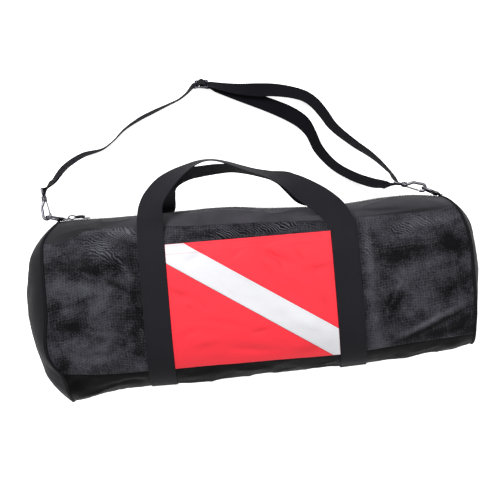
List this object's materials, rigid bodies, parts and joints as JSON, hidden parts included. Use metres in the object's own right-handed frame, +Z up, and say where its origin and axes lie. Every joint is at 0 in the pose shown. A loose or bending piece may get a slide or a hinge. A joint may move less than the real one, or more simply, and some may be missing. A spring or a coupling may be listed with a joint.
{
  "type": "mesh dive gear bag",
  "caption": "Barrel-shaped mesh gear bag with solid ends, red and white striped front pocket, webbing carry handles and a clip-on shoulder strap.",
  "frame": {"origin": "on the surface that the bag lies on, under the middle of its length and depth", "axes": "+X along the bag towards its right end, +Y towards the zipper side and the shoulder strap, +Z up out of the front with the striped pocket"},
  "size_m": [0.8706, 0.6116, 0.2664],
  "materials": {
    "mesh": "open polyester mesh",
    "top_cloth": "smooth woven nylon",
    "base_cloth": "coated woven nylon",
    "flag_red": "smooth woven nylon",
    "flag_white": "smooth woven nylon",
    "zip_tape": "zipper tape and coil",
    "webbing": "ribbed webbing",
    "strap": "flat webbing",
    "metal": "nickel plated wire",
    "slider": "black enamel"
  },
  "bodies": {
    "bag": {"mesh_front": "mesh", "mesh_back": "mesh", "top_panel_front": "top_cloth", "top_panel_back": "top_cloth", "bottom_panel": "base_cloth", "end_left": "base_cloth", "end_right": "base_cloth", "flag_pocket": "flag_red", "flag_stripe": "flag_white", "zipper": "zip_tape", "webbing_front": "webbing", "webbing_back": "webbing", "dring_left": "metal", "dring_tab_left": "strap", "hook_left": "metal", "dring_right": "metal", "dring_tab_right": "strap", "hook_right": "metal", "shoulder_strap": "strap", "strap_slider": "metal", "zipper_slider": "slider"},
    "gate_left": {"gate_left": "metal"},
    "gate_right": {"gate_right": "metal"},
    "zipper_pull": {"zipper_pull": "metal"}
  },
  "joints": [
    {"name": "gate_left", "type": "hinge", "parent": "bag", "child": "gate_left", "pos_m": [-0.38495, 0.20781, 0.11598], "axis": [0.0271, -0.2709, -0.9622], "range_deg": [0, 18], "stiffness_Nm_per_rad": 0.05, "springref_deg": -5.73},
    {"name": "gate_right", "type": "hinge", "parent": "bag", "child": "gate_right", "pos_m": [0.31426, 0.17748, 0.12769], "axis": [-0.2607, 0.0701, 0.9629], "range_deg": [0, 18], "stiffness_Nm_per_rad": 0.05, "springref_deg": -5.73},
    {"name": "zipper_pull", "type": "hinge", "parent": "bag", "child": "zipper_pull", "pos_m": [-0.31275, 0.17272, 0.13645], "axis": [-0.1028, -0.0124, 0.9946], "range_deg": [-160, 0]}
  ]
}
